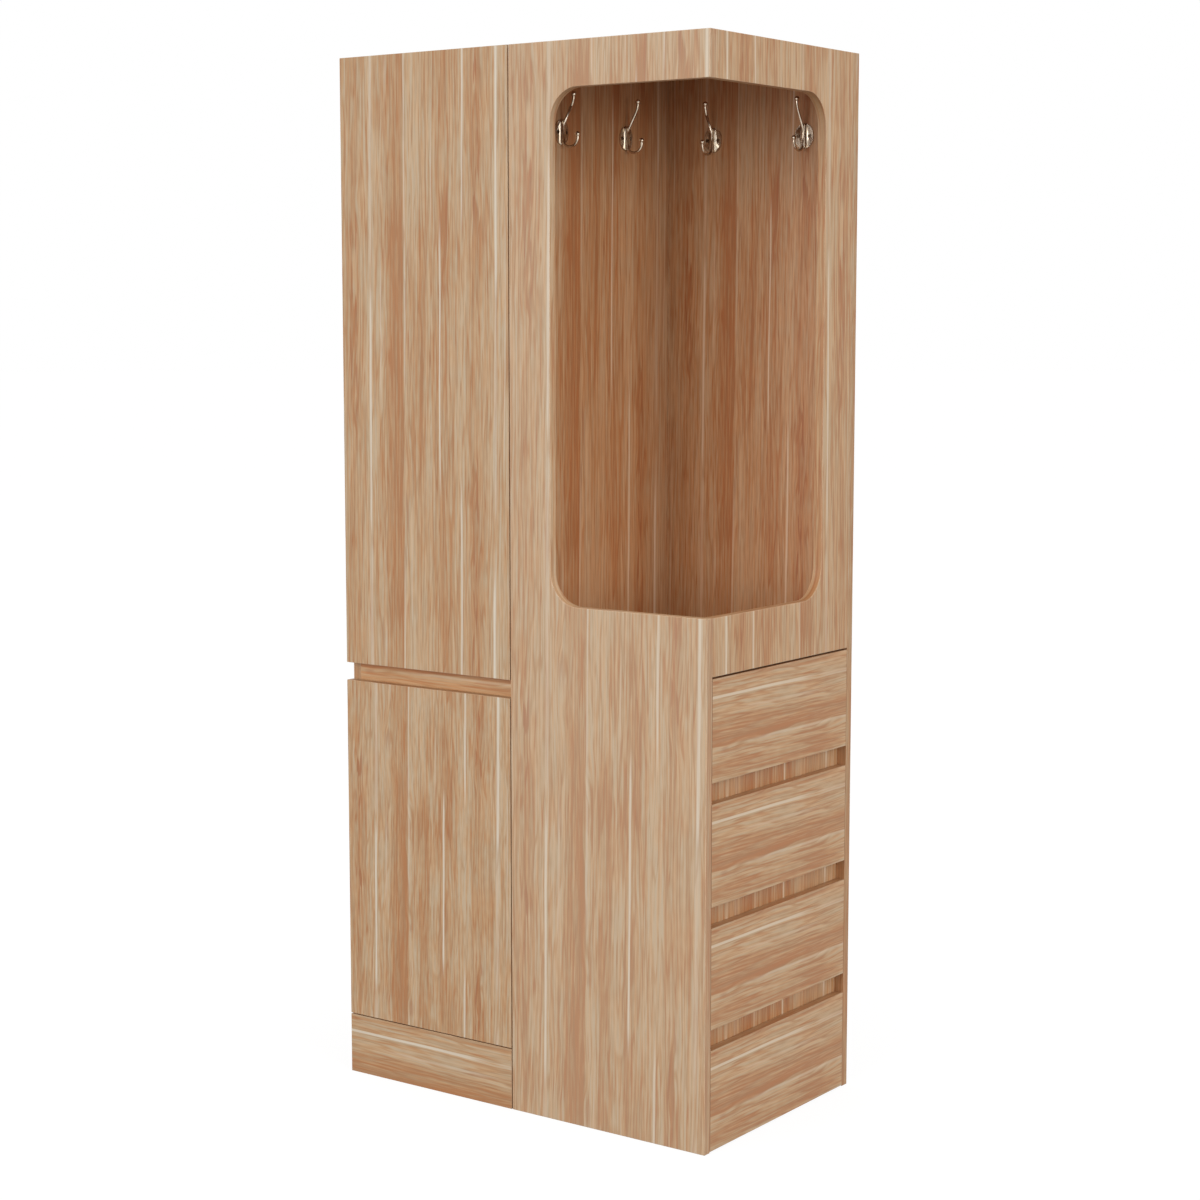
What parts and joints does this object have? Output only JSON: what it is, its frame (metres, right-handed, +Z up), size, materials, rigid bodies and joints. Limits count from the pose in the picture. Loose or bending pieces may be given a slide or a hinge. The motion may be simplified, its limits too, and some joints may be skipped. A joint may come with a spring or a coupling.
{
  "type": "corner wardrobe",
  "caption": "Tall wood-grain wardrobe with a two-door cupboard column, an open corner coat niche with hooks, and side drawers below it.",
  "frame": {"origin": "middle of the wardrobe's base, on the floor", "axes": "+X to the right seen from the front, towards the drawer side; +Y to the back, so the doors face -Y; +Z up"},
  "size_m": [0.85, 0.51, 2],
  "materials": {
    "woodgrain_laminate": "satin wood-grain laminate with straight cream and red-brown streaks",
    "drawer_board": "matt pale laminated board",
    "beech": "bare beech",
    "hook_nickel": "warm satin nickel plate",
    "rail_chrome": "bright chrome plate",
    "fitting_steel": "zinc and nickel plated steel",
    "bumper_rubber": "soft clear rubber"
  },
  "bodies": {
    "carcass": {"left_side_panel": "woodgrain_laminate", "partition_panel": "woodgrain_laminate", "cabinet_top": "woodgrain_laminate", "cabinet_floor": "woodgrain_laminate", "fixed_shelf": "woodgrain_laminate", "middle_rail": "woodgrain_laminate", "plinth": "woodgrain_laminate", "plinth_blocks": "beech", "loose_shelf": "woodgrain_laminate", "shelf_pins": "fitting_steel", "hanging_rail": "rail_chrome", "hanging_rail_flanges": "rail_chrome", "cabinet_back": "drawer_board", "front_panel": "woodgrain_laminate", "corner_side_panel": "woodgrain_laminate", "back_panel": "woodgrain_laminate", "niche_top": "woodgrain_laminate", "niche_floor": "woodgrain_laminate", "base_panel": "woodgrain_laminate", "drawer_rails": "woodgrain_laminate", "coat_hook_1": "hook_nickel", "coat_hook_2": "hook_nickel", "coat_hook_3": "hook_nickel", "coat_hook_4": "hook_nickel", "hook_screws": "fitting_steel", "runner_channels": "fitting_steel", "hinge_arms": "fitting_steel", "hinge_plates": "fitting_steel", "hinge_screws": "fitting_steel", "hinge_pins": "fitting_steel", "cam_locks": "fitting_steel", "cam_bolts": "fitting_steel", "panel_dowels": "beech"},
    "upper_door": {"upper_door": "woodgrain_laminate", "upper_hinge_cups": "fitting_steel", "upper_door_bumpers": "bumper_rubber"},
    "lower_door": {"lower_door": "woodgrain_laminate", "lower_hinge_cups": "fitting_steel", "lower_door_bumpers": "bumper_rubber"},
    "drawer_1": {"drawer_1_front": "woodgrain_laminate", "drawer_1_sides": "drawer_board", "drawer_1_end": "drawer_board", "drawer_1_bottom": "drawer_board", "drawer_1_slides": "fitting_steel"},
    "drawer_2": {"drawer_2_front": "woodgrain_laminate", "drawer_2_sides": "drawer_board", "drawer_2_end": "drawer_board", "drawer_2_bottom": "drawer_board", "drawer_2_slides": "fitting_steel"},
    "drawer_3": {"drawer_3_front": "woodgrain_laminate", "drawer_3_sides": "drawer_board", "drawer_3_end": "drawer_board", "drawer_3_bottom": "drawer_board", "drawer_3_slides": "fitting_steel"},
    "drawer_4": {"drawer_4_front": "woodgrain_laminate", "drawer_4_sides": "drawer_board", "drawer_4_end": "drawer_board", "drawer_4_bottom": "drawer_board", "drawer_4_slides": "fitting_steel"}
  },
  "joints": [
    {"name": "upper_door_hinge", "type": "hinge", "parent": "carcass", "child": "upper_door", "pos_m": [-0.4182, -0.2465, 1.415], "axis": [0, 0, -1], "range_deg": [0, 95]},
    {"name": "lower_door_hinge", "type": "hinge", "parent": "carcass", "child": "lower_door", "pos_m": [-0.4182, -0.2465, 0.458], "axis": [0, 0, -1], "range_deg": [0, 95]},
    {"name": "drawer_1_slide", "type": "slide", "parent": "carcass", "child": "drawer_1", "axis": [1, 0, 0], "range_m": [0, 0.27]},
    {"name": "drawer_2_slide", "type": "slide", "parent": "carcass", "child": "drawer_2", "axis": [1, 0, 0], "range_m": [0, 0.27]},
    {"name": "drawer_3_slide", "type": "slide", "parent": "carcass", "child": "drawer_3", "axis": [1, 0, 0], "range_m": [0, 0.27]},
    {"name": "drawer_4_slide", "type": "slide", "parent": "carcass", "child": "drawer_4", "axis": [1, 0, 0], "range_m": [0, 0.27]}
  ]
}
